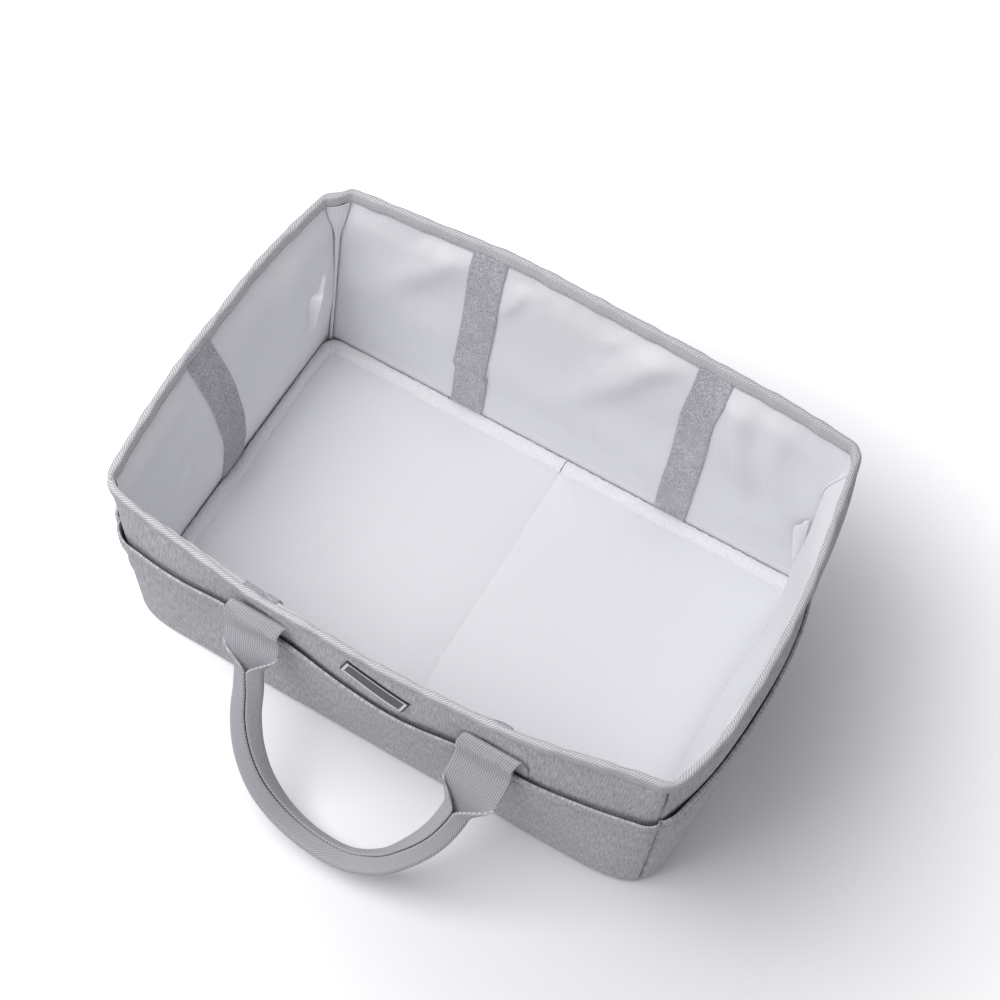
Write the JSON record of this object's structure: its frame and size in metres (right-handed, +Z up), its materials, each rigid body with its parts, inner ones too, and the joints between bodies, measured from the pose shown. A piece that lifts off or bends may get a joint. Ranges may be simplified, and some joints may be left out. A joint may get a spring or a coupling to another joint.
{
  "type": "diaper caddy",
  "caption": "Open rectangular fabric caddy with outer pockets on every side, folding webbing handles and a padded base insert that folds and lifts out.",
  "frame": {"origin": "on the floor, under the middle of the caddy's bounding box", "axes": "+Z up, +X along the caddy's length, -Y towards the front, which carries the patch"},
  "size_m": [0.4278, 0.4366, 0.196],
  "materials": {
    "outer_cloth": "matte melange polyester canvas",
    "rim_tape": "matte twill tape",
    "webbing": "ribbed polyester webbing with a slight sheen",
    "loop_tape": "fuzzy brushed loop pile",
    "lining": "smooth woven polyester",
    "seam_tape": "matte woven tape",
    "insert_cover": "padded woven polyester",
    "label": "satin ribbon",
    "stiffener": "plain board",
    "patch": "moulded soft plastic"
  },
  "bodies": {
    "caddy": {"outer_front": "outer_cloth", "outer_back": "outer_cloth", "outer_left": "outer_cloth", "outer_right": "outer_cloth", "outer_bottom": "outer_cloth", "board_front": "stiffener", "board_back": "stiffener", "board_left": "stiffener", "board_right": "stiffener", "lining_front": "lining", "lining_back": "lining", "lining_left": "lining", "lining_right": "lining", "lining_floor": "lining", "rim_binding": "rim_tape", "pocket_front": "outer_cloth", "pocket_back": "outer_cloth", "pocket_left": "outer_cloth", "pocket_right": "outer_cloth", "loop_tape_back_left": "loop_tape", "loop_tape_back_right": "loop_tape", "loop_tape_front_left": "loop_tape", "loop_tape_front_right": "loop_tape", "loop_tape_left": "loop_tape", "corner_tape_front_left": "seam_tape", "corner_tape_front_right": "seam_tape", "corner_tape_back_left": "seam_tape", "corner_tape_back_right": "seam_tape", "care_label_left": "label", "care_label_right": "label", "front_patch": "patch", "handle_anchor_front_left": "webbing", "handle_anchor_front_right": "webbing", "handle_anchor_back_left": "webbing", "handle_anchor_back_right": "webbing"},
    "front_handle": {"handle_front": "webbing"},
    "back_handle": {"handle_back": "webbing"},
    "base_left": {"base_sheet_left": "insert_cover", "base_board_left": "stiffener", "base_cushion_left": "insert_cover", "base_border_left": "seam_tape"},
    "base_right": {"base_sheet_right": "insert_cover", "base_board_right": "stiffener", "base_cushion_right": "insert_cover", "base_border_right": "seam_tape"}
  },
  "joints": [
    {"name": "front_handle_swing", "type": "hinge", "parent": "caddy", "child": "front_handle", "pos_m": [0, -0.14305, 0.16], "axis": [-1, 0, 0], "range_deg": [0, 155]},
    {"name": "back_handle_swing", "type": "hinge", "parent": "caddy", "child": "back_handle", "pos_m": [0, 0.14305, 0.16], "axis": [1, 0, 0], "range_deg": [0, 155]},
    {"name": "insert_lift", "type": "slide", "parent": "caddy", "child": "base_left", "axis": [0, 0, 1], "range_m": [0, 0.22]},
    {"name": "insert_fold", "type": "hinge", "parent": "base_left", "child": "base_right", "pos_m": [0, 0, 0.0138], "axis": [0, -1, 0], "range_deg": [0, 180]}
  ]
}
